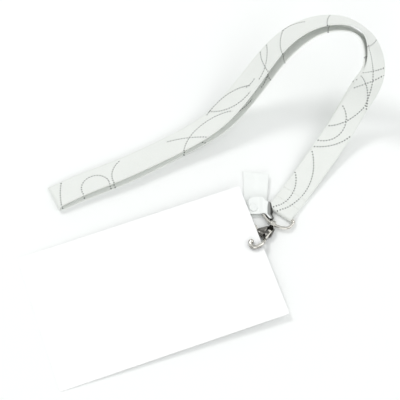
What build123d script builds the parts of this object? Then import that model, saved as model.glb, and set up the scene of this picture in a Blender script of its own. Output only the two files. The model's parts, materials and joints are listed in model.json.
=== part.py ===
from build123d import *
from math import asin, cos, degrees, radians, sin
import os

# A neck lanyard laid on a table with a large event pass on its hook.
# Millimetres, +Z up. The origin is on the table, under the middle of the whole layout.
# Places are given from a datum on the table and shifted to that origin by on_table().

os.makedirs("parts", exist_ok=True)

# ---------------------------------------------------------------- driving dimensions
origin_x = 2.06           # middle of the layout, from the datum
origin_y = -12.72

ribbon_width = 20.0
ribbon_thick = 0.8
layer_gap = 0.1           # between stitched layers
section_step = 9.0        # spacing of the sections along a run of the ribbon

wire_d = 2.2              # D-ring wire
ring_slack = 1.6          # the D-ring's inside is this much wider than the ribbon
ring_depth = 11.2         # bar to the middle of the curve, centre lines
ring_leg = 6.5            # straight side of the D-ring, before its shoulder
ring_corner = 1.3
ring_shoulder = 4.5
ring_shift = 0.5          # the ribbon's end lies off the middle of the bar
bar_clearance = 0.15      # ribbon to bar

eye_clearance = 0.25      # swivel eye to D-ring wire
eye_wall = 1.45
eye_round = 0.4
eye_width = 3.4
post_r = 0.95
post_clearance = 0.06
head_r = 1.6
head_thick = 1.1
head_gap = 0.1            # collar to the post's head
head_taper = 12
head_clearance = 0.3      # window to head, at each side
post_root = 0.5           # the post starts this deep in the eye

collar_r = 2.4
collar_start = 2.95       # from the middle of the eye
collar_length = 2.6
window_length = 2.0
body_inset = 0.3          # the flat body starts this far inside the collar
body_round = 0.7
cut_over = 1.0            # cuts run this far past the metal
hook_thick = 2.2
spine_width = 2.6
spine_end = 14.0
claw_r = 1.05
claw_bulb_r = 1.75
fork_gap = 1.3
lever_thick = 1.1
pin_r = 0.6
pin_clearance = 0.05
pin_proud = 0.12          # each end of the pin stands out of the fork
boss_r = 1.9

pass_width = 169.0
pass_height = 104.5
pass_thick = 0.8
pass_corner = 1.2
hole_clearance = 0.95     # hole of the pass to the claw's bar
hole_inset = 7.0          # middle of the hole, from the edge
hole_offset = 7.8         # and off the middle of that edge
pass_clearance = 0.037    # underside of the pass to the hook's body, at the hole
bulb_clearance = 0.213    # top of the pass to the claw's bulb

tab_thick = 0.7
tab_width = 18.8
tab_length = 38.0
tab_taper = 3.2           # the tab narrows towards the D-ring
tab_slant = 4.0           # its far end is cut at a slant
flap_width = 13.0
snap_r = 3.2
snap_post_r = 0.7

# ---------------------------------------------------------------- places and directions
heading_strap = -126.0    # way the strap points at its D-ring, in plan
heading_hook = -117.0     # way the hook points, in plan
ring_tilt = 5.4           # rise of the D-ring away from its bar
knuckle_angle = 2.0       # where the hook sits on the curve of the D-ring
bar_x = 58.4
bar_y = -11.0

pass_turn = 19.2          # way of the pass's long side, in plan


def on_table(x, y, z=0.0):
    """A point given from the datum, in the part's own frame."""
    return Vector(x - origin_x, y - origin_y, z)


def heading(angle, rise=0.0):
    """Unit vector that points along a plan angle and climbs by rise degrees."""
    flat = cos(radians(rise))
    return Vector(flat * cos(radians(angle)), flat * sin(radians(angle)), sin(radians(rise)))


up = Vector(0, 0, 1)
wire_r = wire_d / 2
wrap_r = wire_r + bar_clearance + ribbon_thick / 2
bar_z = ribbon_thick / 2 + wrap_r
bar_centre = on_table(bar_x, bar_y, bar_z)
strap_way = heading(heading_strap)
bar_way = heading(heading_strap + 90)

# ---------------------------------------------------------------- neck strap
# Each station is the middle of the ribbon and its bank in degrees: a bank lowers the edge
# on the outside of the loop. Both runs go from the neck fold to the D-ring.
upper_run = [
    (-105.5, 1.0, 3.4, 12),
    (-88.0, 9.5, 4.6, 14),
    (-62.0, 20.5, 5.8, 16),
    (-33.0, 34.5, 6.8, 17),
    (-8.0, 47.5, 9.0, 18),
    (10.0, 58.5, 13.5, 18),
    (25.5, 72.0, 21.5, 19),
    (39.0, 85.5, 32.5, 22),
    (52.5, 98.0, 46.0, 25),
    (68.0, 107.0, 58.5, 28),
    (87.5, 111.0, 67.5, 34),
    (106.0, 108.5, 71.0, 44),
    (118.0, 102.0, 69.5, 53),
    (124.5, 92.5, 62.0, 46),
    (126.0, 82.5, 49.5, 39),
    (121.5, 74.0, 35.5, 32),
    (114.0, 65.5, 24.0, 25),
    (103.5, 51.0, 13.0, 17),
    (91.0, 34.0, 6.8, 9),
    (79.5, 18.0, 3.6, 3),
]
lower_run = [
    (-105.5, 0.5, 0.4, 0),
    (-88.0, 9.0, 0.4, 0),
    (-62.0, 20.5, 0.4, 0),
    (-33.0, 35.5, 0.4, 0),
    (-8.0, 49.0, 1.4, 3),
    (11.5, 58.5, 6.5, 9),
    (27.0, 70.0, 14.5, 15),
    (41.0, 82.5, 26.0, 20),
    (55.0, 94.5, 39.5, 24),
    (70.0, 103.0, 52.5, 28),
    (87.5, 107.5, 62.5, 34),
    (104.0, 105.5, 66.8, 44),
    (115.5, 99.6, 66.3, 53),
    (121.6, 91.2, 59.6, 46),
    (123.4, 82.0, 47.4, 39),
    (119.6, 74.3, 34.2, 32),
    (112.8, 66.0, 22.7, 25),
    (103.0, 51.2, 11.4, 17),
    (91.0, 34.0, 5.4, 9),
    (79.5, 18.0, 2.4, 3),
]
seam_near = 8.0           # the layers lie flat between these two distances from the bar
seam_far = 21.0
hem_length = 23.0
hem_middle = 8.0          # the hem's sections, back from the bar
hem_end = 3.0
rise_start = 4.0          # the ribbon comes off the bar's top here
lower_end = 4.4

rest_z = ribbon_thick / 2  # middle of a ribbon that lies on the table


def behind_bar(distance, z):
    """A point on the strap's line, back from the bar of the D-ring."""
    return Vector(bar_centre.X, bar_centre.Y, 0) - strap_way * distance + up * z


def frame_at(point, way, bank):
    """Section plane of the ribbon: x across it towards the outside of the loop."""
    across = up.cross(way).normalized()
    face = way.cross(across).normalized()
    tipped = across * cos(radians(bank)) - face * sin(radians(bank))
    return Plane(origin=point, x_dir=tipped, z_dir=way)


def run_frames(stations, tail):
    """Section planes along one run, from the neck fold to the D-ring."""
    points = [on_table(x, y, z) for x, y, z, bank in stations] + tail
    banks = [bank for x, y, z, bank in stations] + [0] * len(tail)
    route = Spline(*points)
    marks = [route.param_at_point(p) for p in points]
    frames = []
    for i in range(len(points) - 1):
        pieces = max(1, round((points[i + 1] - points[i]).length / section_step))
        for k in range(pieces):
            share = k / pieces
            mark = marks[i] + (marks[i + 1] - marks[i]) * share
            bank = banks[i] + (banks[i + 1] - banks[i]) * share
            lowest = rest_z + ribbon_width / 2 * sin(radians(bank))
            place = route @ mark
            place = Vector(place.X, place.Y, max(place.Z, lowest))
            frames.append(frame_at(place, (route % mark).normalized(), bank))
    frames.append(frame_at(points[-1], (route % 1).normalized(), 0))
    return frames


def turned(frame):
    """The same section for a ribbon that travels the other way."""
    return Plane(origin=frame.origin, x_dir=frame.x_dir, z_dir=-frame.z_dir)


pitch = ribbon_thick + layer_gap
hem_z = rest_z
top_z = hem_z + 2 * pitch
seam_middle = (seam_near + seam_far) / 2
tail_upper = [behind_bar(d, top_z) for d in (seam_far, seam_middle, seam_near)]
tail_lower = [behind_bar(d, hem_z + pitch) for d in (seam_far, seam_middle, lower_end)]
upper_frames = run_frames(upper_run, tail_upper)
lower_frames = run_frames(lower_run, tail_lower)

# from the hem under the strap, round the bar, to the start of the upper run
wrap_frames = []
for distance in (hem_length, hem_middle, hem_end):
    wrap_frames.append(Plane(origin=behind_bar(distance, hem_z), x_dir=bar_way, z_dir=strap_way))
for turn in range(0, 181, 30):
    spoke = strap_way * sin(radians(turn)) - up * cos(radians(turn))
    along = strap_way * cos(radians(turn)) + up * sin(radians(turn))
    wrap_frames.append(Plane(origin=bar_centre + spoke * wrap_r, x_dir=bar_way, z_dir=along))
rise_point = behind_bar(rise_start, (top_z + bar_z + wrap_r) / 2)
wrap_frames.append(Plane(origin=rise_point, x_dir=bar_way, z_dir=-strap_way))

# round the neck fold, from the upper run down to the lower one
first, last = upper_frames[0], lower_frames[0]
fold_out = -(first.z_dir + last.z_dir).normalized()
fold_middle = (first.origin + last.origin) / 2
fold_half = (first.origin - last.origin) / 2
fold_frames = []
level_turn = 120          # the fold lies level from here down to the table
for turn in (30, 60, 90, 120, 150):
    point = fold_middle + fold_half * cos(radians(turn)) + fold_out * fold_half.length * sin(radians(turn))
    along = fold_out * cos(radians(turn)) - up * sin(radians(turn))
    across = first.x_dir + (last.x_dir - first.x_dir) * min(1, turn / level_turn)
    fold_frames.append(Plane(origin=point, x_dir=across.normalized(), z_dir=along))

strap_frames = wrap_frames + [turned(f) for f in reversed(upper_frames)] + fold_frames + lower_frames

with BuildPart() as neck_strap:
    for frame in strap_frames:
        with BuildSketch(frame):
            Rectangle(ribbon_width, ribbon_thick)
    loft(ruled=True)
neck_strap.part.label = "neck_strap"

# two rows of lockstitch through the layers, seen on top of the strap's end
stitch_length = 1.9
stitch_width = 0.45
stitch_height = 0.3
stitch_count = 7
stitch_margin = 1.6       # from the ribbon's edges
stitch_spread = ribbon_width - 2 * stitch_margin
stitch_top = top_z + ribbon_thick / 2
near_row = seam_near + 1.6
far_row = seam_far - 2.4
with BuildPart() as end_stitching:
    for distance in (near_row, far_row):
        seat = Plane(origin=behind_bar(distance, stitch_top), x_dir=bar_way, z_dir=up)
        with BuildSketch(seat):
            with GridLocations(stitch_spread / (stitch_count - 1), 1, stitch_count, 1):
                SlotOverall(stitch_length, stitch_width)
        extrude(amount=stitch_height)
end_stitching.part.label = "end_stitching"

# ---------------------------------------------------------------- D-ring
ring_up = heading(heading_strap + 180, 90 - ring_tilt)
ring_plane = Plane(origin=bar_centre + bar_way * ring_shift, x_dir=-bar_way, z_dir=ring_up)
half_bar = (ribbon_width + ring_slack + wire_d) / 2
curve_rise = ring_depth - ring_leg
curve_r = (half_bar ** 2 + curve_rise ** 2) / (2 * curve_rise)
curve_centre = ring_depth - curve_r

with BuildSketch(ring_plane) as ring_outline:
    with BuildLine():
        Polyline((-half_bar, ring_leg), (-half_bar, 0), (half_bar, 0), (half_bar, ring_leg))
        ThreePointArc((half_bar, ring_leg), (0, ring_depth), (-half_bar, ring_leg))
    make_face()
    fillet(ring_outline.vertices().group_by(Axis.Y)[0], radius=ring_corner)
    fillet(ring_outline.vertices().sort_by(Axis.Y)[-2:], radius=ring_shoulder)
ring_path = ring_outline.sketch.face().outer_wire()
with BuildPart() as d_ring:
    with BuildSketch(Plane(origin=ring_path @ 0, z_dir=ring_path % 0)):
        Circle(wire_r)
    sweep(path=ring_path)
d_ring.part.label = "d_ring"

# ---------------------------------------------------------------- swivel hook
# Hook frame: origin on the D-ring's wire, x to the mouth's side, y towards the claw, z up.
knuckle = ring_plane.from_local_coords(
    Vector(-curve_r * sin(radians(knuckle_angle)), curve_centre + curve_r * cos(radians(knuckle_angle)), 0)
)
hook_way = heading(heading_hook)
hook_side = heading(heading_hook - 90)
hook_plane = Plane(origin=knuckle, x_dir=hook_side, z_dir=hook_side.cross(hook_way))


def in_hook(x, y, z=0.0):
    """A point of the hook frame, in the part's own frame."""
    return hook_plane.from_local_coords(Vector(x, y, z))


def across_hook(y):
    """Plane across the hook's length at a distance from the eye."""
    return Plane(origin=in_hook(0, y), x_dir=hook_plane.x_dir, z_dir=hook_way)


eye_hole_r = wire_r + eye_clearance
eye_r = eye_hole_r + eye_wall
collar_end = collar_start + collar_length
head_start = collar_end + head_gap
head_end = head_start + head_thick
window_end = collar_end + window_length

with BuildPart() as swivel_eye:
    with BuildSketch(Plane(origin=in_hook(0, 0), x_dir=hook_way, z_dir=hook_plane.x_dir)):
        Circle(eye_r)
        Circle(eye_hole_r, mode=Mode.SUBTRACT)
    extrude(amount=eye_width / 2, both=True)
    rim = swivel_eye.edges().filter_by(GeomType.CIRCLE)
    fillet(rim, radius=eye_round)
    with BuildSketch(across_hook(eye_r - post_root)):
        Circle(post_r)
    extrude(amount=head_end - eye_r + post_root)
    with BuildSketch(across_hook(head_start)):
        Circle(head_r)
    extrude(amount=head_thick, taper=head_taper)
swivel_eye.part.label = "swivel_eye"

rail = 3.0                # half width of the body at its window
body_start = collar_start + body_inset
shoulder_x = 8.2          # outer corner of the lever's fork
fork_start = 3.9          # the slot runs from here out past the shoulder
fork_end = shoulder_x + 2 * cut_over
fork_top = 8.2
fork_bottom = 12.0
pivot_x = 6.0
pivot_y = 10.3
lug_y = window_end + 1.8  # the body narrows to the spine between these two
spine_start = lug_y + 1.2
neck_x = spine_width / 2 + 0.9  # inner corner between the fork and the spine
neck_y = fork_bottom + 0.6
claw_z = hook_thick / 2 + pass_clearance + pass_thick + bulb_clearance + claw_bulb_r
claw_route = [            # middle of the claw's round bar, in the hook frame
    (0, spine_end - 2.6, 0.0),
    (-0.2, spine_end - 0.4, 0.2),
    (-0.9, spine_end + 1.6, claw_z - 0.5),
    (-0.6, spine_end + 4.4, claw_z - 0.3),
    (1.6, spine_end + 7.6, claw_z - 0.2),
    (4.8, spine_end + 9.2, claw_z - 0.2),
    (7.4, spine_end + 8.7, claw_z - 0.1),
    (7.7, spine_end + 6.4, claw_z),
    (7.7, spine_end + 6.4, -0.5),
]
claw_bend = 1.2
claw_way = FilletPolyline(*[in_hook(*p) for p in claw_route], radius=claw_bend)
tip = claw_route[-1]

with BuildPart() as hook_body:
    with BuildSketch(hook_plane.offset(-hook_thick / 2)):
        with BuildLine():
            Polyline(
                (-rail, body_start),
                (rail, body_start),
                (shoulder_x, fork_top),
                (shoulder_x, fork_bottom),
                (neck_x, neck_y),
                (spine_width / 2, spine_end),
                (-spine_width / 2, spine_end),
                (-spine_width / 2, spine_start),
                (-rail, lug_y),
                close=True,
            )
        make_face()
    extrude(amount=hook_thick)
    uprights = hook_body.edges().filter_by(lambda e: abs((e % 0).dot(hook_plane.z_dir)) > 0.99)
    fillet(uprights, radius=body_round)
    with BuildSketch(across_hook(collar_start)):
        Circle(collar_r)
    extrude(amount=collar_length)
    with BuildSketch(hook_plane.offset(-collar_r)):
        with Locations((0, (collar_end + window_end) / 2)):
            Rectangle(2 * (head_r + head_clearance), window_length)
    extrude(amount=2 * collar_r, mode=Mode.SUBTRACT)
    with BuildSketch(across_hook(collar_start - cut_over)):
        Circle(post_r + post_clearance)
    extrude(amount=collar_length + 2 * cut_over, mode=Mode.SUBTRACT)
    with BuildSketch(hook_plane.offset(-fork_gap / 2)):
        with Locations(((fork_start + fork_end) / 2, (fork_top + fork_bottom) / 2)):
            Rectangle(fork_end - fork_start, 3 * (fork_bottom - fork_top))
    extrude(amount=fork_gap, mode=Mode.SUBTRACT)
    with BuildSketch(hook_plane.offset(-hook_thick)):
        with Locations((pivot_x, pivot_y)):
            Circle(pin_r)
    extrude(amount=2 * hook_thick, mode=Mode.SUBTRACT)
    with BuildSketch(Plane(origin=claw_way @ 0, z_dir=claw_way % 0)):
        Circle(claw_r)
    sweep(path=claw_way)
    with Locations(in_hook(tip[0], tip[1], claw_route[-2][2])):
        Sphere(claw_bulb_r)
hook_body.part.label = "hook_body"

with BuildPart() as lever_pin:
    with BuildSketch(hook_plane.offset(-hook_thick / 2 - pin_proud)):
        with Locations((pivot_x, pivot_y)):
            Circle(pin_r)
    extrude(amount=hook_thick + 2 * pin_proud)
lever_pin.part.label = "lever_pin"

# gate arm from the pivot to the claw's end, with a thumb tab on the other side
nose_gap = 0.12
arm_width = 1.9
nose_x = tip[0] - claw_r - nose_gap - arm_width / 2
nose_y = tip[1] - 0.2     # the arm ends just short of the claw's middle
thumb_x = shoulder_x + 2.2
thumb_y = fork_top - 0.6
thumb_r = arm_width / 2 + 0.15
pocket_floor = 0.3
pocket_r = 1.55
with BuildPart() as trigger_lever:
    with BuildSketch(hook_plane.offset(-lever_thick / 2)):
        with Locations((pivot_x, pivot_y)):
            Circle(boss_r)
        for far in ((nose_x, nose_y), (thumb_x, thumb_y)):
            with BuildLine() as centre_line:
                Line((pivot_x, pivot_y), far)
            trace(centre_line.line, line_width=arm_width)
            with Locations(far):
                Circle(arm_width / 2)
    extrude(amount=lever_thick)
    with BuildSketch(hook_plane.offset(-hook_thick / 2)):
        with Locations((thumb_x, thumb_y)):
            Circle(thumb_r)
    extrude(amount=hook_thick)
    with BuildSketch(hook_plane.offset(-hook_thick)):
        with Locations((pivot_x, pivot_y)):
            Circle(pin_r + pin_clearance)
    extrude(amount=2 * hook_thick, mode=Mode.SUBTRACT)
    with BuildSketch(hook_plane.offset(pocket_floor - lever_thick / 2)):
        with Locations((pivot_x, pivot_y)):
            Circle(pocket_r)
    extrude(amount=lever_thick, mode=Mode.SUBTRACT)
trigger_lever.part.label = "trigger_lever"

# torsion spring round the pin, in the lever's pocket
spring_wire = 0.3
spring_inner = pin_r + 0.12
spring_lift = 0.02        # over the pocket's floor
spring_round = 0.09
with BuildPart() as lever_spring:
    with BuildSketch(hook_plane.offset(pocket_floor + spring_lift - lever_thick / 2)):
        with Locations((pivot_x, pivot_y)):
            Circle(spring_inner + spring_wire)
            Circle(spring_inner, mode=Mode.SUBTRACT)
    extrude(amount=2 * spring_wire)
    fillet(lever_spring.edges(), radius=spring_round)
lever_spring.part.label = "lever_spring"

# ---------------------------------------------------------------- event pass
# The far edge lies on the table, and the edge with the hole lies on the hook's body.
hole_x = pass_width / 2 - hole_inset
hole_lift = knuckle.Z + hook_thick / 2 + pass_clearance
pass_tilt = degrees(asin(hole_lift / (pass_width - hole_inset)))
pass_way = heading(pass_turn, pass_tilt)
pass_side = heading(pass_turn + 90)
claw_end = in_hook(*tip)
hole_seat = Vector(claw_end.X, claw_end.Y, hole_lift)
pass_middle = hole_seat - pass_way * hole_x - pass_side * hole_offset
pass_plane = Plane(origin=pass_middle, x_dir=pass_way, z_dir=pass_way.cross(pass_side))
with BuildPart() as pass_card:
    with BuildSketch(pass_plane):
        RectangleRounded(pass_width, pass_height, pass_corner)
        with Locations((hole_x, hole_offset)):
            Circle(claw_r + hole_clearance, mode=Mode.SUBTRACT)
    extrude(amount=pass_thick)
pass_card.part.label = "pass_card"

# ---------------------------------------------------------------- snap tab
# A white strip that goes round the side of the D-ring and snaps shut on itself.
tab_left = 31.9
tab_front = -14.6
wrap_front = -17.0        # front end of the part that goes round the wire
wrap_width = 7.4
tab_turn_x = 51.5         # middle of the strip where it turns round the wire
eyelet_thick = 0.2        # flange under the base
snap_depth = 1.8          # base to flap at the snap
flap_rise = 0.65          # top of the D-ring's wire to the middle of the flap
base_back = 10.0          # the wrap starts this far back in the base
tab_base_z = eyelet_thick + tab_thick / 2
flap_wire_z = bar_z + wire_d + flap_rise
flap_snap_z = tab_base_z + tab_thick + snap_depth
flap_left = 34.8
flap_left_drop = 3.0      # its arc ends this far in front of its middle
flap_right_drop = 2.2
flap_back = -0.4          # rounded back edge of the flap
slope_x = 42.4            # the flap is flat up to here, then climbs to the wire
wire_x = 45.2
snap_x = 38.8
snap_y = -7.6
strip_bend = 1.2
tab_route = [
    (tab_turn_x - base_back, tab_base_z),
    (tab_turn_x, tab_base_z),
    (tab_turn_x, flap_wire_z),
    (wire_x, flap_wire_z),
    (slope_x, flap_snap_z),
    (snap_x, flap_snap_z),
]
left_end = (flap_left, flap_back - flap_left_drop)
right_end = (slope_x, flap_back - flap_right_drop)
base_top = tab_base_z + tab_thick / 2
flap_under = flap_snap_z - tab_thick / 2
flap_top = flap_snap_z + tab_thick / 2
level = Plane(origin=on_table(0, 0), x_dir=(1, 0, 0), z_dir=(0, 0, 1))
snap_plane = Plane(origin=on_table(snap_x, snap_y), x_dir=(1, 0, 0), z_dir=(0, 0, 1))
strip_plane = Plane(origin=on_table(0, wrap_front), x_dir=(1, 0, 0), z_dir=(0, -1, 0))
with BuildPart() as snap_tab:
    with BuildLine(strip_plane) as strip_way:
        FilletPolyline(*tab_route, radius=strip_bend)
    strip_path = strip_way.wire().moved(Location((0, wrap_width / 2, 0)))
    with BuildSketch(Plane(origin=strip_path @ 0, x_dir=(0, 1, 0), z_dir=(1, 0, 0))):
        Rectangle(wrap_width, tab_thick)
    sweep(path=strip_path)
    with BuildSketch(level.offset(tab_base_z - tab_thick / 2)):
        with BuildLine():
            Polyline(
                (tab_left, tab_front),
                (tab_left + tab_width - tab_taper, tab_front),
                (tab_left + tab_width, tab_front + tab_length - tab_slant),
                (tab_left, tab_front + tab_length),
                close=True,
            )
        make_face()
    extrude(amount=tab_thick)
    with BuildSketch(level.offset(flap_under)):
        with BuildLine():
            Polyline(left_end, (flap_left, tab_front), (slope_x, tab_front), right_end)
            ThreePointArc(right_end, (snap_x, flap_back), left_end)
        make_face()
    extrude(amount=tab_thick)
    with BuildSketch(snap_plane):
        Circle(snap_post_r)
    extrude(amount=2 * flap_top, mode=Mode.SUBTRACT)
snap_tab.part.label = "snap_tab"

# the four pieces of the snap: cap and socket on the flap, stud and eyelet on the base
cap_height = 0.9
cap_round = 0.7
rivet_depth = 0.5         # the cap's post reaches this far under the flap
socket_r = 2.6
socket_plate = 0.45
socket_lift = 0.35        # socket's rim over the base
socket_clearance = 0.08
stud_r = 1.5
stud_flange = 0.25
stud_gap = 0.55           # stud to the flap's underside
eyelet_gap = 0.6          # eyelet's post to the flap's underside
with BuildPart() as snap_cap:
    with BuildSketch(snap_plane.offset(flap_top)):
        Circle(snap_r)
    extrude(amount=cap_height)
    fillet(snap_cap.faces().sort_by(Axis.Z)[-1].edges(), radius=cap_round)
    with BuildSketch(snap_plane.offset(flap_under - rivet_depth)):
        Circle(snap_post_r)
    extrude(amount=tab_thick + rivet_depth)
snap_cap.part.label = "snap_cap"

with BuildPart() as snap_socket:
    with BuildSketch(snap_plane.offset(base_top + socket_lift)):
        Circle(socket_r)
        Circle(stud_r + socket_clearance, mode=Mode.SUBTRACT)
    extrude(amount=snap_depth - socket_lift)
    with BuildSketch(snap_plane.offset(flap_under - socket_plate)):
        Circle(socket_r)
        Circle(snap_post_r, mode=Mode.SUBTRACT)
    extrude(amount=socket_plate)
snap_socket.part.label = "snap_socket"

with BuildPart() as snap_stud:
    with BuildSketch(snap_plane.offset(base_top)):
        Circle(socket_r)
        Circle(snap_post_r, mode=Mode.SUBTRACT)
    extrude(amount=stud_flange)
    with BuildSketch(snap_plane.offset(base_top)):
        Circle(stud_r)
        Circle(snap_post_r, mode=Mode.SUBTRACT)
    extrude(amount=snap_depth - stud_gap)
snap_stud.part.label = "snap_stud"

with BuildPart() as snap_eyelet:
    with BuildSketch(snap_plane):
        Circle(socket_r)
    extrude(amount=eyelet_thick)
    with BuildSketch(snap_plane):
        Circle(snap_post_r)
    extrude(amount=flap_under - eyelet_gap)
snap_eyelet.part.label = "snap_eyelet"

pieces = [
    neck_strap, end_stitching, d_ring, swivel_eye, hook_body, lever_pin, trigger_lever, lever_spring,
    pass_card, snap_tab, snap_cap, snap_socket, snap_stud, snap_eyelet,
]
for piece in pieces:
    export_step(piece.part, "parts/" + piece.part.label + ".step")
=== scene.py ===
# %% [markdown]
# # A neck lanyard on a table
# The lanyard is one length of white ribbon, doubled at the neck. Its two runs lie on each other, rise
# in an arch and come down to a D-ring, with a swivel hook, a white snap strip and a large blank pass.
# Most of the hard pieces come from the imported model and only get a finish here. The ribbon, the strip
# and the hook's casting are made anew, because soft bends and cast edges need a finer mesh.

# %% Load the frame
import json
import math

import bmesh
import bpy
import numpy as np
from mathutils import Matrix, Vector


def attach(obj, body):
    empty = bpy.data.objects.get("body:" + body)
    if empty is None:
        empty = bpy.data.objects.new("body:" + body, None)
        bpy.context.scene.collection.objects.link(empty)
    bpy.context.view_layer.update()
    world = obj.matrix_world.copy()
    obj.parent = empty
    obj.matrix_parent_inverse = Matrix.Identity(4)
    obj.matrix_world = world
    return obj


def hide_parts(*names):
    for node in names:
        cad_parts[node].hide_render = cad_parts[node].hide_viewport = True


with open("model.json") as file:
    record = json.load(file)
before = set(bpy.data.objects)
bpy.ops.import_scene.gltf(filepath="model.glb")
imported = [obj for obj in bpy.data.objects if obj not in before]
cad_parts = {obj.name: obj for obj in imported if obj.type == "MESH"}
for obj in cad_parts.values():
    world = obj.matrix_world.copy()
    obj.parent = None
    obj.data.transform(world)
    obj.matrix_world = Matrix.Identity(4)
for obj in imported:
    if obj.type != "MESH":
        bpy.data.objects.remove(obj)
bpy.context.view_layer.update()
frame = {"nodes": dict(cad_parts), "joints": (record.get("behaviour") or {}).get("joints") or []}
nodes = frame["nodes"]
MM = 0.001


# %% [markdown]
# ## Shader maths
# A material reads better as a formula than as a list of links. `Value` wraps a socket, and each
# operator on it adds the Math node that does the work. `Material` makes any other node in one call.

# %% A socket that can be added and multiplied
class Value:
    def __init__(self, tree, socket):
        self.tree, self.socket = tree, socket

    def maths(self, operation, *others):
        node = self.tree.nodes.new("ShaderNodeMath")
        node.operation = operation
        for slot, item in zip(node.inputs, (self, *others)):
            if isinstance(item, Value):
                self.tree.links.new(item.socket, slot)
            else:
                slot.default_value = item
        return Value(self.tree, node.outputs[0])

    def __add__(self, other):
        return self.maths("ADD", other)

    def __sub__(self, other):
        return self.maths("SUBTRACT", other)

    def __rsub__(self, other):
        return self.maths("MULTIPLY", -1.0).maths("ADD", other)

    def __mul__(self, other):
        return self.maths("MULTIPLY", other)

    def __lt__(self, other):
        return self.maths("LESS_THAN", other)

    def __gt__(self, other):
        return self.maths("GREATER_THAN", other)

    __radd__ = __add__
    __rmul__ = __mul__


# %% A material and its nodes
class Material:
    def __init__(self, name):
        self.made = bpy.data.materials.new(name)
        self.made.use_nodes = True
        self.tree = self.made.node_tree
        self.shader = self.tree.nodes["Principled BSDF"]

    def node(self, kind, settings=None, output=0, **values):
        """Adds a node: its settings first, then its sockets. Gives the asked output."""
        node = self.tree.nodes.new(kind)
        for name, value in (settings or {}).items():
            setattr(node, name, value)
        for name, value in values.items():
            self.feed(node.inputs[name.replace("_", " ")], value)
        return Value(self.tree, node.outputs[output])

    def feed(self, slot, value):
        if isinstance(value, Value):
            self.tree.links.new(value.socket, slot)
        else:
            slot.default_value = value

    def set(self, **values):
        for name, value in values.items():
            self.feed(self.shader.inputs[name.replace("_", " ")], value)

    def blend(self, share, low, high):
        """Colour that goes from low to high."""
        mix = self.tree.nodes.new("ShaderNodeMix")
        mix.data_type = "RGBA"
        for slot, value in zip((mix.inputs[0], mix.inputs[6], mix.inputs[7]), (share, low, high)):
            self.feed(slot, value)
        return Value(self.tree, mix.outputs[2])

    def smooth(self, value, low, high):
        """0 under low, 1 over high, soft between."""
        return self.node("ShaderNodeMapRange", {"interpolation_type": "SMOOTHSTEP"},
                         Value=value, From_Min=low, From_Max=high)

    def bump(self, height, strength, distance):
        self.set(Normal=self.node("ShaderNodeBump", Height=height, Strength=strength, Distance=distance))


# %% [markdown]
# ## Camera, floor and light
# The view looks steeply down on the layout through a long lens. The table is a plain pale sweep. A
# lamp behind on the left throws the soft shadows towards the right and the front, two broader and
# weaker lamps fill them, and the room around is pale.

# %% Camera
aim = Vector((-0.0021, 0.0127, 0.0))
distance = 1.0175
elevation = math.radians(65.68)
camera = bpy.data.objects.new("camera", bpy.data.cameras.new("camera"))
camera.data.lens = 125.0
camera.data.sensor_width = 36.0
camera.location = aim + Vector((0, -math.cos(elevation), math.sin(elevation))) * distance
camera.rotation_mode = "QUATERNION"
camera.rotation_quaternion = (aim - camera.location).to_track_quat("-Z", "Y")
bpy.context.scene.collection.objects.link(camera)
bpy.context.scene.camera = camera
print("camera at", [round(v, 4) for v in camera.location])


# %% Putting a bmesh into the scene
def place(mesh, name, material, body=None):
    """Makes a piece of a bmesh. The mesh is already in place, so its object sits at the origin."""
    data = bpy.data.meshes.new(name)
    mesh.to_mesh(data)
    mesh.free()
    piece = bpy.data.objects.new(name, data)
    bpy.context.scene.collection.objects.link(piece)
    data.materials.append(material)
    for face in data.polygons:
        face.use_smooth = True
    if body:
        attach(piece, body)
    print(name, len(data.polygons), "faces")
    return piece


def add(piece, kind, **settings):
    modifier = piece.modifiers.new(kind.title(), kind)
    for name, value in settings.items():
        setattr(modifier, name, value)


# %% Floor
def floor_finish():
    paint = Material("pale table")
    paint.set(Base_Color=(0.93, 0.94, 0.935, 1), Roughness=0.75)
    paint.shader.inputs["Specular IOR Level"].default_value = 0.2
    return paint.made


ground = bmesh.new()
bmesh.ops.create_grid(ground, x_segments=1, y_segments=1, size=6.0)
place(ground, "floor", floor_finish())


# %% Lamps
def lamp(name, place_at, size, power):
    """A round lamp that faces the layout: its place and size in metres, its power in watts."""
    light = bpy.data.lights.new(name, "AREA")
    light.shape, light.size, light.energy = "DISK", size, power
    holder = bpy.data.objects.new(name, light)
    holder.location = place_at
    holder.rotation_mode = "QUATERNION"
    holder.rotation_quaternion = (aim - Vector(place_at)).to_track_quat("-Z", "Y")
    bpy.context.scene.collection.objects.link(holder)
    print(name, "lamp of", power, "W")


lamp("key", (-0.75, 0.95, 1.5), 0.5, 9)
lamp("front", (0.1, -1.6, 0.8), 1.2, 5)
lamp("fill", (1.3, -0.2, 1.3), 1.6, 6)


# %% [markdown]
# ## The room
# Nickel shows nothing but what it mirrors, and in an even, pale room it looks like chalk. A studio
# stands dark cards round bright metal for that. Here the world's own shader draws them: screens low
# down, all round and across the front. Only glossy rays meet them, so the soft light stays even.

# %% Pale room with dark screens
room_tone = (0.97, 0.983, 0.978, 1)
screen_tone = (0.02, 0.02, 0.02, 1)
screen_foot, screen_top = 0.02, 0.5     # heights of a direction of length 1
screens_round = 5.0
first_screen = 0.9                      # radians by which the row of screens is turned
screen_gap = 0.35                       # the sine over which a screen begins
front_screen = -0.45                    # the front screen stands where a direction's y is lower
room_strength = 0.745
world = bpy.data.worlds.new("studio")
world.use_nodes = True
sky = world.node_tree.nodes["Background"]
sky.inputs["Strength"].default_value = room_strength


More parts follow.
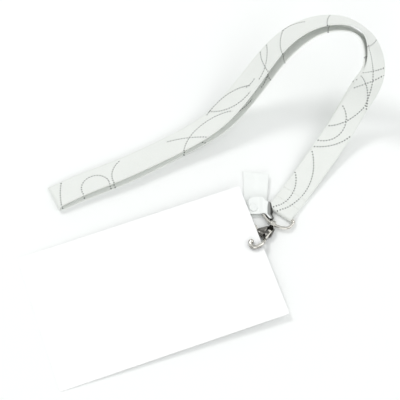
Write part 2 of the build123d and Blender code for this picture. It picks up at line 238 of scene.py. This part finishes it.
def studio_walls():
    tree = world.node_tree
    toward = tree.nodes.new("ShaderNodeTexCoord").outputs["Generated"]
    parts = tree.nodes.new("ShaderNodeSeparateXYZ")
    tree.links.new(toward, parts.inputs[0])
    x, y, z = (Value(tree, parts.outputs[k]) for k in range(3))
    around = (y.maths("ARCTAN2", x) * screens_round + first_screen).maths("SINE")
    low = (z > screen_foot) * (z < screen_top)
    mirrored = Value(tree, tree.nodes.new("ShaderNodeLightPath").outputs["Is Glossy Ray"])
    screens = (around > screen_gap).maths("MAXIMUM", y < front_screen) * low * mirrored
    mix = tree.nodes.new("ShaderNodeMix")
    mix.data_type = "RGBA"
    mix.inputs[6].default_value = room_tone
    mix.inputs[7].default_value = screen_tone
    tree.links.new(screens.socket, mix.inputs[0])
    tree.links.new(mix.outputs[2], sky.inputs["Color"])


studio_walls()
bpy.context.scene.world = world
bpy.context.scene.view_settings.view_transform = "Standard"
print("room strength", room_strength)


# %% [markdown]
# ## The ribbon's route
# The ribbon is one flat strip, laid along a route. The route's stations are those of the packed
# model: the middle of the ribbon and its bank, in millimetres and degrees, from a datum on the table.
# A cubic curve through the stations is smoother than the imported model's short straight sections.

# %% Stations and sizes
datum = Vector((-2.06, 12.72, 0.0))
ribbon_width = 20.0
ribbon_thick = 0.8
pitch = 0.9               # one stitched layer to the next
rest_z = ribbon_thick / 2
wire_r = 1.1              # the D-ring's wire
wrap_play = 0.15
wrap_r = wire_r + wrap_play + ribbon_thick / 2
bar = datum + Vector((58.4, -11.0, rest_z + wrap_r))
strap_heading = math.radians(-126)
strap_way = Vector((math.cos(strap_heading), math.sin(strap_heading), 0))
bar_way = Vector((-strap_way.y, strap_way.x, 0))
up = Vector((0, 0, 1))

# each station: x, y, z and bank
upper_run = [
    (-105.5, 1.0, 3.4, 12),
    (-88.0, 9.5, 4.6, 14),
    (-62.0, 20.5, 5.8, 16),
    (-33.0, 34.5, 6.8, 17),
    (-8.0, 47.5, 9.0, 18),
    (10.0, 58.5, 13.5, 18),
    (25.5, 72.0, 21.5, 19),
    (39.0, 85.5, 32.5, 22),
    (52.5, 98.0, 46.0, 25),
    (68.0, 107.0, 58.5, 28),
    (87.5, 111.0, 67.5, 34),
    (106.0, 108.5, 71.0, 44),
    (118.0, 102.0, 69.5, 53),
    (124.5, 92.5, 62.0, 46),
    (126.0, 82.5, 49.5, 39),
    (121.5, 74.0, 35.5, 32),
    (114.0, 65.5, 24.0, 25),
    (103.5, 51.0, 13.0, 17),
    (91.0, 34.0, 6.8, 9),
    (79.5, 18.0, 3.6, 3),
]
lower_run = [
    (-105.5, 0.5, 0.4, 0),
    (-88.0, 9.0, 0.4, 0),
    (-62.0, 20.5, 0.4, 0),
    (-33.0, 35.5, 0.4, 0),
    (-8.0, 49.0, 1.4, 3),
    (11.5, 58.5, 6.5, 9),
    (27.0, 70.0, 14.5, 15),
    (41.0, 82.5, 26.0, 20),
    (55.0, 94.5, 39.5, 24),
    (70.0, 103.0, 52.5, 28),
    (87.5, 107.5, 62.5, 34),
    (104.0, 105.5, 66.8, 44),
    (115.5, 99.6, 66.3, 53),
    (121.6, 91.2, 59.6, 46),
    (123.4, 82.0, 47.4, 39),
    (119.6, 74.3, 34.2, 32),
    (112.8, 66.0, 22.7, 25),
    (103.0, 51.2, 11.4, 17),
    (91.0, 34.0, 5.4, 9),
    (79.5, 18.0, 2.4, 3),
]
print("bar of the ring at", [round(v, 2) for v in bar], "mm")


# %% A curve through the stations
route_step = 1.5


def ease(value):
    """0 to 1 with soft ends."""
    value = max(0.0, min(1.0, value))
    return value * value * (3 - 2 * value)


def behind_bar(distance, z):
    """A point on the strap's line, back from the D-ring's bar."""
    return Vector((bar.x, bar.y, z)) - strap_way * distance


def cubic(points, step):
    """Points about a step apart on the natural cubic curve through some rows of numbers."""
    rows = np.array(points, float)
    spans = np.linalg.norm(np.diff(rows[:, :3], axis=0), axis=1)
    count = len(rows)
    system, right = np.eye(count), np.zeros_like(rows)
    for i in range(1, count - 1):
        a, b = spans[i - 1], spans[i]
        system[i, i - 1:i + 2] = a, 2 * (a + b), b
        right[i] = 6 * ((rows[i + 1] - rows[i]) / b - (rows[i] - rows[i - 1]) / a)
    bends = np.linalg.solve(system, right)
    out = []
    for i, span in enumerate(spans):
        for t in np.arange(0, span, span / max(1, round(span / step))):
            s, r = t, span - t
            out.append((bends[i] * r ** 3 + bends[i + 1] * s ** 3) / (6 * span)
                       + (rows[i] / span - bends[i] * span / 6) * r
                       + (rows[i + 1] / span - bends[i + 1] * span / 6) * s)
    out.append(rows[-1])
    return np.array(out)


def run_sections(stations, tail):
    """Sections (middle, across) along one run, from the neck fold to the D-ring."""
    points = [(*(datum + Vector(s[:3])), s[3]) for s in stations] + [(*p, 0) for p in tail]
    line = cubic(points, route_step)
    sections = []
    ways = np.gradient(line[:, :3], axis=0)
    for row, way in zip(line, ways):
        way = Vector(way).normalized()
        flat = up.cross(way).normalized()
        face = way.cross(flat).normalized()
        bank = math.radians(row[3])
        across = flat * math.cos(bank) - face * math.sin(bank)
        lowest = rest_z + ribbon_width / 2 * abs(across.z)
        sections.append((Vector((row[0], row[1], max(row[2], lowest))), across))
    return sections


# %% The two runs
# distances behind the ring's bar, in millimetres
seam_near, seam_far = 8.0, 21.0
seam_middle = (seam_near + seam_far) / 2
hem_far, hem_near = 23.0, 0.5
lower_end = 4.4
tail_upper = [behind_bar(d, rest_z + 2 * pitch) for d in (seam_far, seam_middle, seam_near)]
tail_lower = [behind_bar(d, rest_z + pitch) for d in (seam_far, seam_middle, lower_end)]
upper = run_sections(upper_run, tail_upper)
lower = run_sections(lower_run, tail_lower)
print("sections", len(upper), "in the upper run,", len(lower), "in the lower")


# %% Hem, wrap and neck fold
wrap_shares = (0.3, 0.6, 0.85)    # of the way from the bar to the seam
fold_turns = np.linspace(0, 180, 11)[1:-1]
bank_turn = 120                   # degrees of the fold in which one run's bank becomes the other's

route = [(behind_bar(d, rest_z), bar_way) for d in np.linspace(hem_far, hem_near, 16)]
for turn in np.linspace(0, 180, 13):
    a = math.radians(turn)
    route.append((bar + (strap_way * math.sin(a) - up * math.cos(a)) * wrap_r, bar_way))
high = bar.z + wrap_r
for share in wrap_shares:
    z = high + (rest_z + 2 * pitch - high) * ease(share)
    route.append((behind_bar(share * seam_near, z), bar_way))
route += reversed(upper)
half = (upper[0][0] - lower[0][0]) / 2
middle = (upper[0][0] + lower[0][0]) / 2
outward = (upper[0][0] - upper[1][0]).normalized() + (lower[0][0] - lower[1][0]).normalized()
outward.normalize()
fold_middle = len(route) + len(fold_turns) // 2
for turn in fold_turns:
    a = math.radians(turn)
    across = upper[0][1].lerp(lower[0][1], min(1, turn / bank_turn)).normalized()
    route.append((middle + half * math.cos(a) + outward * half.length * math.sin(a), across))
route += lower

middles = np.array([p for p, _ in route])
crosses = np.array([a for _, a in route])
walked = np.concatenate([[0], np.cumsum(np.linalg.norm(np.diff(middles, axis=0), axis=1))])
ribbon_length = walked[-1]
fold_at = float(walked[fold_middle])
print("ribbon length", round(ribbon_length, 1), "mm, fold at", round(fold_at, 1), "mm")


# %% [markdown]
# ## The ribbon itself
# Real ribbon starts as a flat strip. `create_grid` makes that strip, and a UV map keeps each point's
# place on it in metres, for the weave and the print. Then each point moves to its place on the route.
# A slight crown and a soft ripple keep the long runs from looking like sheet metal.

# %% From the flat strip to the laid one
calm_start, calm_end, calm_fold = 60, 50, 25      # how far from its ends and its fold it lies still
slack_rise = 40


def on_route(rows, along):
    """The route's middles or crosses at a distance along it."""
    return np.array([np.interp(along, walked, rows[:, k]) for k in range(3)])


def on_ribbon(along, across, lift):
    """The point of the laid ribbon for a place on the flat strip, all in millimetres."""
    side = Vector(on_route(crosses, along)).normalized()
    ahead = Vector(on_route(middles, along + 1) - on_route(middles, along - 1)).normalized()
    return Vector(on_route(middles, along)) + side * across + side.cross(ahead).normalized() * lift


def slack(along):
    """How freely the ribbon may ripple: not at all where it is sewn or folded."""
    free = min(along - calm_start, ribbon_length - calm_end - along, abs(along - fold_at) - calm_fold)
    return max(0.0, min(1.0, free / slack_rise))


print("slack in mid run", slack(ribbon_length / 4))


# %% The strip's mesh
ripple_depth, ripple_short, ripple_long = 0.16, 13.0, 31.0
crown = 0.10
ribbon = bmesh.new()
lengthwise, widthwise = 520, 10
bmesh.ops.create_grid(ribbon, x_segments=lengthwise, y_segments=widthwise, size=0.5)
flat = ribbon.loops.layers.uv.new("flat")
for vert in ribbon.verts:
    along = (vert.co.x + 0.5) * ribbon_length
    across = vert.co.y * ribbon_width
    vert.co.x, vert.co.y = along, across
for face in ribbon.faces:
    for loop in face.loops:
        loop[flat].uv = (loop.vert.co.x * MM, loop.vert.co.y * MM)
for vert in ribbon.verts:
    along, across = vert.co.x, vert.co.y
    edge = (2 * across / ribbon_width) ** 2
    wave = ripple_depth * math.sin(along / ripple_short) * math.sin(along / ripple_long + 1)
    ripple = wave * across / (ribbon_width / 2) * slack(along)
    vert.co = on_ribbon(along, across, ripple - crown * edge * slack(along)) * MM
bmesh.ops.recalc_face_normals(ribbon, faces=ribbon.faces)
print("ribbon mesh", len(ribbon.faces), "faces")


# %% [markdown]
# ## The ribbon's finish
# The ribbon is off-white satin-faced polyester. Its weave is a fine rib across the width with warp
# threads along it, and both edges have a raised selvedge. A generic print of thin dotted arcs crosses
# it. The arcs don't repeat, so no loop gives them: each was measured, fitted with a circle and rounded.
# All of it reads the strip's own UV map, so the pattern follows every bend.

# %% The print and the weave, in millimetres
# each arc: its centre along and across the strip, its radius, where it starts and stops along it
print_arcs = [
    (51, -35, 40.5, 27, 82), (43, -25, 23.8, 27, 61), (107, -16, 17.8, 90, 123),
    (120, -29, 40.4, 83, 107), (136, -33, 40, 104, 133), (86, -227, 237.8, 131, 182),
    (105, -51, 64.4, 128, 155), (112, 33, 49.2, 139, 155), (342, -19, 184.7, 156, 162),
    (230, 4, 51, 178, 186), (170, 0, 49.2, 213, 221), (250, -18, 27.4, 236, 253),
    (224, -15, 37.4, 250, 263), (240, -10, 39.3, 272, 281), (289, 15, 21.9, 266, 289),
    (294, 11, 14.1, 290, 300), (325, -27, 36.6, 297, 336), (301, 32, 39, 300, 336),
    (341, -26, 29.2, 320, 366), (388, -55, 62.1, 346, 373), (405, -8, 16.5, 410, 422),
    (435, -7, 10.6, 424, 447), (404, -22, 60.8, 455, 466),
]
dot_pitch = 2.1
dot_gap = 0.3             # the sine over which a dot begins
line_half = 0.48
rib_pitch, warp_pitch = 0.62, 0.42
selvedge_in, selvedge_out = 8.9, 9.3
print("print of", len(print_arcs), "arcs")


# %% Ribbon material
def ribbon_finish():
    cloth = Material("woven ribbon")
    place_on = cloth.node("ShaderNodeUVMap", {"uv_map": "flat"})
    u = cloth.node("ShaderNodeSeparateXYZ", Vector=place_on, output="X") * 1000
    v = cloth.node("ShaderNodeSeparateXYZ", Vector=place_on, output="Y") * 1000
    rib = (u * (2 * math.pi / rib_pitch)).maths("SINE")
    warp = (v * (2 * math.pi / warp_pitch)).maths("SINE")
    weave = rib * 0.5 + warp * 0.35
    edge = cloth.smooth(v.maths("ABSOLUTE"), selvedge_in, selvedge_out)
    uneven = cloth.node("ShaderNodeTexNoise", Vector=place_on, Scale=90.0, Detail=3.0)
    threads = cloth.node("ShaderNodeTexNoise", Vector=place_on, Scale=900.0, Detail=2.0)
    folded = fold_at - (u - fold_at).maths("ABSOLUTE")
    ink = None
    for along, across, radius, start, stop in print_arcs:
        du, dv = folded - along, v - across
        off = ((du * du + dv * dv).maths("SQRT") - radius).maths("ABSOLUTE")
        dot = (dv.maths("ARCTAN2", du) * (radius * 2 * math.pi / dot_pitch)).maths("SINE") > dot_gap
        line = (off < line_half) * dot * (folded > start) * (folded < stop)
        ink = line if ink is None else ink.maths("MAXIMUM", line)
    base = cloth.blend(uneven, (0.755, 0.78, 0.745, 1), (0.815, 0.835, 0.805, 1))
    base = cloth.blend((threads - 0.35) * 0.5 + weave * 0.10 + 0.15, base, (0.91, 0.92, 0.90, 1))
    base = cloth.blend(edge * 0.30, base, (0.72, 0.745, 0.71, 1))
    cloth.set(Base_Color=cloth.blend(ink * 0.95, base, (0.012, 0.013, 0.012, 1)))
    cloth.set(Roughness=0.62 - rib * 0.05 + ink * 0.1)
    cloth.shader.inputs["Sheen Weight"].default_value = 0.25
    cloth.shader.inputs["Sheen Roughness"].default_value = 0.4
    cloth.shader.inputs["Specular IOR Level"].default_value = 0.35
    cloth.bump(weave + edge * 1.2 + threads * 0.6, 0.35, 0.00012)
    return cloth.made


# %% The ribbon gets its thickness
edge_round_off = 0.22
strap = place(ribbon, "ribbon", ribbon_finish(), "strap")
add(strap, "SOLIDIFY", thickness=ribbon_thick * MM, offset=0.0, use_even_offset=True)
add(strap, "BEVEL", width=edge_round_off * MM, segments=2, limit_method="ANGLE",
    angle_limit=math.radians(60))
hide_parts("neck_strap")


# %% [markdown]
# ## Finishes of the hard pieces
# The ring and the hook are nickel plated: bright and slightly warm, with a soft unevenness. Shade is
# also painted into the colour: dark in the hook's recesses, on its plates' faces and on the claw's
# sides and underside. A colour attribute marks where that painted shade goes, so that one metal serves
# both the imported pieces, which have no such mark, and the hook that is made here. The pass is a smooth
# laminated card, the snap's cap is lacquered, and the stitches are twisted thread. Patterns on
# Object coordinates are enough for them, because none has to follow a bend as the weave does.

# %% Nickel
def nickel_finish():
    metal = Material("nickel plate")
    spot = metal.node("ShaderNodeTexCoord", output="Object")
    cloudy = metal.node("ShaderNodeTexNoise", Vector=spot, Scale=260.0, Detail=4.0)
    fine = metal.node("ShaderNodeTexNoise", Vector=spot, Scale=2400.0, Detail=2.0)
    # painted shade: where the attribute is set, the nickel is darkened nearly to black
    painted_shade = metal.node("ShaderNodeAttribute", {"attribute_name": "painted_shade"}, output="Fac")
    plate = metal.blend(cloudy, (0.62, 0.60, 0.55, 1), (0.86, 0.84, 0.79, 1))
    metal.set(Metallic=1.0)
    metal.set(Base_Color=metal.blend(painted_shade, plate, (0.014, 0.013, 0.011, 1)))
    metal.set(Roughness=0.10 + cloudy * 0.14 + painted_shade * 0.25)
    metal.bump(cloudy * 0.8 + fine * 0.2, 0.10, 0.0002)
    return metal.made


# %% Card
def card_finish():
    card = Material("white laminate")
    spot = card.node("ShaderNodeTexCoord", output="Object")
    tone = card.node("ShaderNodeTexNoise", Vector=spot, Scale=14.0, Detail=3.0)
    grain = card.node("ShaderNodeTexNoise", Vector=spot, Scale=1800.0, Detail=2.0)
    card.set(Base_Color=card.blend(tone, (0.955, 0.96, 0.96, 1), (0.985, 0.985, 0.985, 1)))
    card.set(Roughness=0.34 + tone * 0.10)
    card.shader.inputs["Coat Weight"].default_value = 0.25
    card.bump(grain, 0.06, 0.00005)
    return card.made


# %% Lacquer
def lacquer_finish():
    paint = Material("white lacquer")
    spot = paint.node("ShaderNodeTexCoord", output="Object")
    tone = paint.node("ShaderNodeTexNoise", Vector=spot, Scale=500.0, Detail=2.0)
    paint.set(Base_Color=paint.blend(tone, (0.80, 0.825, 0.81, 1), (0.88, 0.90, 0.885, 1)))
    paint.set(Roughness=0.28 + tone * 0.08)
    return paint.made


# %% Thread
def thread_finish():
    thread = Material("sewing thread")
    spot = thread.node("ShaderNodeTexCoord", output="Object")
    twist = thread.node("ShaderNodeTexWave", Vector=spot, Scale=1400.0, Distortion=1.5)
    thread.set(Base_Color=thread.blend(twist, (0.66, 0.68, 0.64, 1), (0.90, 0.91, 0.88, 1)))
    thread.set(Roughness=0.7 + twist * 0.1)
    thread.bump(twist, 0.4, 0.0001)
    return thread.made


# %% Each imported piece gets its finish
nickel, card, lacquer, thread = nickel_finish(), card_finish(), lacquer_finish(), thread_finish()
finish_of = {
    "d_ring": nickel, "swivel_eye": nickel, "trigger_lever": nickel, "lever_pin": nickel,
    "lever_spring": nickel, "snap_socket": nickel, "snap_stud": nickel,
    "snap_cap": lacquer, "snap_eyelet": lacquer, "pass_card": card, "end_stitching": thread,
}
for name, finish in finish_of.items():
    data = nodes[name].data
    data.materials.clear()
    data.materials.append(finish)
    print(name, "wears", finish.name)


# %% [markdown]
# ## The hook's casting
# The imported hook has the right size, but a casting also has soft corners, a raised rim with a sunk
# field, and a spine that runs out into the claw. Each plate starts as an outline that is extruded and
# bevelled, and an inset makes its sunk field. The collar is turned, so its section is spun. All are
# placed from the joint that the hook turns about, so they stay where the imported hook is.

# %% The hook's own frame
swivel = next(joint for joint in frame["joints"] if joint["name"] == "hook_swivel")
knuckle = Vector(swivel["pos_m"]) / MM
hook_way = -Vector(swivel["axis"]).normalized()
hook_side = Vector((hook_way.y, -hook_way.x, 0))
print("knuckle at", [round(v, 2) for v in knuckle], "mm")


def in_hook(x, y, z=0.0):
    """A point of the hook's frame, in metres: x to the mouth's side, y towards the claw, z up."""
    return (knuckle + hook_side * x + hook_way * y + up * z) * MM


# %% How a plate is made
plate_half = 1.1              # half a plate's thickness
edge_round = 0.30
step_width = 0.18             # the slope from the rim down to the field
# painted shade: a plate's top face is darkened, and its sunk fields a little less
top_painted_shade, field_painted_shade = 0.8, 0.72


def grey(level):
    return (level, level, level, 1)


def plate(mesh, mark, outline, rim=0.0, sink=0.0):
    """A bevelled plate on an outline, with painted shade on its top face and its sunk fields. With a rim,
    the field inside it is sunk on both faces.
    """
    verts = [mesh.verts.new(in_hook(x, y, -plate_half)) for x, y in outline]
    floor = mesh.faces.new(verts)
    grown = bmesh.ops.extrude_face_region(mesh, geom=[floor])
    top = [item for item in grown["geom"] if isinstance(item, bmesh.types.BMVert)]
    bmesh.ops.translate(mesh, verts=top, vec=up * 2 * plate_half * MM)
    lid = [item for item in grown["geom"] if isinstance(item, bmesh.types.BMFace)][0]
    edges = {edge for vert in verts + top for edge in vert.link_edges}
    # painted shade on the top face
    for vert in top:
        vert[mark] = grey(top_painted_shade)
    if rim:
        for face, way in ((lid, -1), (floor, 1)):
            bmesh.ops.inset_region(mesh, faces=[face], thickness=rim * MM, use_even_offset=True)
            bmesh.ops.inset_region(mesh, faces=[face], thickness=step_width * MM, use_even_offset=True)
            bmesh.ops.translate(mesh, verts=face.verts, vec=up * way * sink * MM)
            # painted shade on the sunk fields
            for vert in face.verts:
                vert[mark] = grey(field_painted_shade)
    bmesh.ops.bevel(mesh, geom=list(edges), offset=edge_round * MM, segments=3, profile=0.5,
                    affect="EDGES", material=-1)


# %% Fork, rail and body
fork_outline = [(2.0, 3.6), (3.1, 3.6), (8.2, 8.3), (8.2, 9.2), (1.9, 9.2)]
rail_outline = [(-3.1, 3.3), (-2.0, 3.3), (-1.9, 8.0), (-3.2, 8.0)]
body_outline = [
    (-3.2, 7.6), (3.4, 7.6), (8.2, 8.6), (8.2, 11.9), (2.3, 12.6),
    (1.3, 14.0), (-1.3, 14.0), (-1.4, 10.8), (-3.2, 9.6),
]
hook = bmesh.new()
# the hook's painted shade is kept in this colour layer
painted_shade = hook.verts.layers.float_color.new("painted_shade")
plate(hook, painted_shade, fork_outline, rim=0.45, sink=0.3)
plate(hook, painted_shade, rail_outline)
plate(hook, painted_shade, body_outline, rim=0.55, sink=0.5)
print("plates", len(hook.faces), "faces")


# %% Collar
# each point: its distance from the post's axis and its place along it
collar_section = [
    (1.05, 2.95), (2.1, 2.95), (2.4, 3.25), (2.4, 3.9), (2.2, 4.15),
    (2.4, 4.4), (2.4, 5.25), (2.1, 5.55), (1.05, 5.55),
]
section_verts = [hook.verts.new(in_hook(r, y)) for r, y in collar_section]
neighbours = zip(section_verts, section_verts[1:] + section_verts[:1])
section_edges = [hook.edges.new(pair) for pair in neighbours]
bmesh.ops.spin(hook, geom=section_verts + section_edges, cent=in_hook(0, 0), axis=hook_way,
               angle=2 * math.pi, steps=36, use_merge=True)
print("with the collar", len(hook.faces), "faces")


# %% Pits of the casting
pits = [(1.9, 10.5, 0.95), (-2.2, 9.0, 0.4), (6.0, 10.3, 0.9)]      # x, y and radius
pit_z, pit_depth, pit_taper = 0.62, 0.3, 0.9
for x, y, r in pits:
    pit = bmesh.ops.create_cone(hook, cap_ends=True, segments=28, radius1=r * MM,
                                radius2=r * pit_taper * MM, depth=pit_depth * MM)["verts"]
    bmesh.ops.translate(hook, verts=pit, vec=in_hook(x, y, pit_z))
    # painted shade: each pit is painted fully dark
    for vert in pit:
        vert[painted_shade] = grey(1.0)
bmesh.ops.recalc_face_normals(hook, faces=hook.faces)
casting = place(hook, "hook_casting", nickel, "hook")
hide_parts("hook_body")


# %% [markdown]
# ## Spine and claw
# The hook's spine climbs from the body over the edge of the pass, arches round as the claw and ends in
# a ball on a stem. It thickens and thins on the way, so it is a curve with a radius at each point,
# made a mesh, to which the ball and the stem are added. Shade and dark reflection are painted into
# the metal's colour where it faces the side or down, as in the marked recesses.

# %% The claw's line
# each point: its place in the hook's frame and the tube's radius there
claw_points = [
    ((-1.7, 5.4, 1.05), 0.55), ((-1.2, 8.5, 1.15), 0.62), ((-0.7, 11.5, 1.1), 0.75),
    ((-0.3, 13.4, 0.9), 0.95), ((-0.6, 15.2, 2.4), 1.2), ((-0.9, 17.0, 3.55), 1.35),
    ((-0.2, 19.4, 3.85), 1.5), ((1.4, 22.3, 3.95), 1.55), ((3.9, 24.2, 4.0), 1.55),
    ((6.6, 23.8, 4.0), 1.45), ((7.7, 21.7, 3.95), 1.45), ((7.7, 20.2, 3.85), 1.5),
    ((7.7, 19.6, 3.5), 1.2),
]


def claw_tube():
    """The spine and the claw as one closed tube."""
    line = bpy.data.curves.new("claw_line", "CURVE")
    line.dimensions, line.bevel_depth, line.bevel_resolution = "3D", MM, 8
    line.use_fill_caps, line.resolution_u = True, 10
    spline = line.splines.new("NURBS")
    spline.points.add(len(claw_points) - 1)
    for point, (spot, radius) in zip(spline.points, claw_points):
        point.co = (*in_hook(*spot), 1)
        point.radius = radius
    spline.order_u = 4
    spline.use_endpoint_u = True
    holder = bpy.data.objects.new("claw_line", line)
    shape = bpy.data.meshes.new_from_object(holder)
    mesh = bmesh.new()
    mesh.from_mesh(shape)
    bpy.data.objects.remove(holder)
    bmesh.ops.remove_doubles(mesh, verts=mesh.verts, dist=0.00001)
    return mesh


# %% Ball and stem
ball_at, ball_r, ball_height = (7.45, 20.7, 3.85), 1.85, 0.9
stem_at, stem_length = (7.7, 20.4, 1.6), 4.2
stem_low_r, stem_top_r = 0.7, 1.05
claw_mesh = claw_tube()
ball = bmesh.ops.create_uvsphere(claw_mesh, u_segments=28, v_segments=18, radius=ball_r * MM)["verts"]
bmesh.ops.scale(claw_mesh, verts=ball, vec=(1.0, 1.0, ball_height))
bmesh.ops.translate(claw_mesh, verts=ball, vec=in_hook(*ball_at))
stem = bmesh.ops.create_cone(claw_mesh, cap_ends=True, segments=24, radius1=stem_low_r * MM,
                             radius2=stem_top_r * MM, depth=stem_length * MM)["verts"]
bmesh.ops.translate(claw_mesh, verts=stem, vec=in_hook(*stem_at))
bmesh.ops.recalc_face_normals(claw_mesh, faces=claw_mesh.faces)
claw_mesh.normal_update()


# %% The claw's painted shade
side_painted_shade = 0.9
side_from = 0.5               # the height of the normal under which the dark sets in
shade = claw_mesh.verts.layers.float_color.new("painted_shade")
# painted shade and painted reflection: the more the surface faces the side or down, the darker
for vert in claw_mesh.verts:
    vert[shade] = grey(side_painted_shade * ease((side_from - vert.normal.z) / side_from))
claw = place(claw_mesh, "hook_claw", nickel, "hook")


# %% [markdown]
# ## The snap strip
# A soft white vinyl strip goes round the left side of the D-ring and snaps shut on itself. Its base
# lies on the table with one edge curling up, and the flap lies over it. Both are laid from a grid,
# because a thin sheet with a gentle curl needs nothing more, and Solidify gives them their thickness.
# The same attribute as on the hook paints shade on the vinyl: the turn round the ring is darkened nearly
# to black and made glossy, and a thin painted shadow runs along the flap's back edge.

# %% Vinyl
def vinyl_finish():
    vinyl = Material("soft vinyl")
    spot = vinyl.node("ShaderNodeTexCoord", output="Object")
    tone = vinyl.node("ShaderNodeTexNoise", Vector=spot, Scale=60.0, Detail=3.0)
    grain = vinyl.node("ShaderNodeTexNoise", Vector=spot, Scale=2600.0, Detail=2.0)
    # painted shade: where the attribute is set, the white vinyl is darkened nearly to black
    turn = vinyl.node("ShaderNodeAttribute", {"attribute_name": "painted_shade"}, output="Fac")
    white = vinyl.blend(tone, (0.84, 0.865, 0.85, 1), (0.90, 0.92, 0.905, 1))
    painted_turn_shade = vinyl.blend(tone, (0.012, 0.012, 0.011, 1), (0.05, 0.05, 0.045, 1))
    vinyl.set(Base_Color=vinyl.blend(turn, white, painted_turn_shade))
    vinyl.set(Roughness=0.45 - turn * 0.25 + tone * 0.06)
    vinyl.bump(grain, 0.10, 0.00008)
    return vinyl.made


vinyl = vinyl_finish()


# %% A sheet laid from a grid
strip_thick = 0.6
strip_round = 0.18


def rise(value, start, length):
    """0 up to the start, 1 a length after it, soft between."""
    return ease((value - start) / length)


def laid_grid(name, columns, rows, spot, mark=None):
    """A grid whose points go where spot(a, b) says, in millimetres, with a and b from 0 to 1."""
    mesh = bmesh.new()
    shade = mesh.verts.layers.float_color.new("painted_shade")
    bmesh.ops.create_grid(mesh, x_segments=columns, y_segments=rows, size=0.5)
    for vert in mesh.verts:
        a, b = vert.co.x + 0.5, vert.co.y + 0.5
        vert[shade] = grey(mark(a, b) if mark else 0.0)
        vert.co = Vector(spot(a, b)) * MM
    area = sum(face.calc_area() for face in mesh.faces)
    piece = place(mesh, name, vinyl, "tab")
    add(piece, "SOLIDIFY", thickness=strip_thick * MM, offset=0.0)
    add(piece, "BEVEL", width=strip_round * MM, segments=2, limit_method="ANGLE",
        angle_limit=math.radians(60))
    print(name, "flat area", round(area * 1e6), "square mm")
    return piece, area


# %% Base of the strip
base_front, base_back = -1.6, 36.0
base_left, base_right = 29.9, 45.4
base_slant = 4.0              # how much further forward the back edge ends on the right
base_spread = 3.2             # how much further right the right edge ends at the back
base_z = 0.55
corner_lift, end_lift = 2.3, 0.5
corner_x, corner_y, end_y = (36, 12), (6, 16), (26, 10)      # where each lift starts, and over what length


def base_spot(a, b):
    y = base_front + (base_back - base_slant * a - base_front) * b
    x = base_left + (base_right + base_spread * b - base_left) * a
    lift = corner_lift * rise(x, *corner_x) * rise(y, *corner_y) + end_lift * rise(y, *end_y)
    return x, y, base_z + lift


base, base_area = laid_grid("strip_base", 40, 60, base_spot)
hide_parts("snap_tab")


# %% [markdown]
# ## The strip's flap
# The flap starts as a flat leaf over the base, rises over the ring's wire and turns down round it. The
# turn isn't straight: it bulges in the middle and flares at both ends. One function gives the turn,
# another the leaf, and they meet in the same line.

# %% The turn round the ring
turn_share = 0.42             # part of the flap's length that goes round the wire
turn_low, turn_high = 0.95, 4.75
turn_front, turn_length = -4.1, 13.6
turn_x = 46.1
front_flare, front_reach = 3.0, 4.2
back_flare, back_from, back_reach = 1.3, 3, 6.5
bulge_least, bulge_more = 0.3, 4.2
bulge_middle, bulge_half = 2.7, 6.9


def turn_left(y):
    """Where the turn begins, at a place along the wire."""
    front = front_flare * ease(-y / front_reach)
    back = back_flare * max(0.0, (y - back_from) / back_reach) ** 2
    return turn_x + front + back


def turn_spot(y, swing):
    """A point of the turn, at an angle from its top."""
    bulge = bulge_least + bulge_more * math.sqrt(max(0.0, 1 - ((y - bulge_middle) / bulge_half) ** 2))
    centre, reach = (turn_low + turn_high) / 2, (turn_high - turn_low) / 2
    return turn_left(y) + bulge * math.sin(swing), y, centre + reach * math.cos(swing)


# %% The leaf
leaf_left, leaf_front, leaf_back = 32.0, 0.2, 11.2
leaf_z = 3.05
corner_cut, cut_reach = 1.8, 0.3      # the left back corner is cut back by this much over this share
back_bow, bow_share = 1.4, 1.05
turn_from = (0.72, 0.28)              # the share from which the leaf's width goes over to the turn's
leaf_droop, droop_from, droop_reach = 1.5, 34.2, 2.4
climb = (40.0, 5.0)                   # where the leaf climbs onto the wire


def leaf_spot(a, b, y_turn):
    x = leaf_left + (turn_left(y_turn) - leaf_left) * a
    bow = math.sin(math.pi * min(1, a * bow_share))
    back = leaf_back + corner_cut * ease(a / cut_reach) + back_bow * bow
    y_leaf = leaf_front + (back - leaf_front) * b
    y = y_leaf + (y_turn - y_leaf) * rise(a, *turn_from)
    droop = leaf_droop * ease((droop_from - x) / droop_reach)
    return x, y, leaf_z - droop + (turn_high - leaf_z) * rise(x, *climb)


# %% Flap
flap_width = 0.0142
# painted shadow: a thin dark line along the flap's back edge; painted shade: the turn round the ring
lip_painted_shadow, lip_from = 0.14, (0.96, 0.02)
turn_painted_shades = [(0.70, 0.03, 0.05), (0.30, 0.19, 0.06)]      # how dark, from where in the turn, how soon


def flap_spot(a, b):
    y_turn = turn_front + turn_length * b
    if a > 1 - turn_share:
        return turn_spot(y_turn, math.pi * (a - 1 + turn_share) / turn_share)
    return leaf_spot(a / (1 - turn_share), b, y_turn)


def flap_mark(a, b):
    """How much shade is painted on the vinyl: dark on the turn, and a thin painted shadow along the back
    edge.
    """
    swing = (a - 1 + turn_share) / turn_share
    dark = sum(level * rise(swing, start, length) for level, start, length in turn_painted_shades)
    return max(lip_painted_shadow * rise(b, *lip_from), dark)


flap, flap_area = laid_grid("strip_flap", 90, 40, flap_spot, flap_mark)
flap_area / flap_width
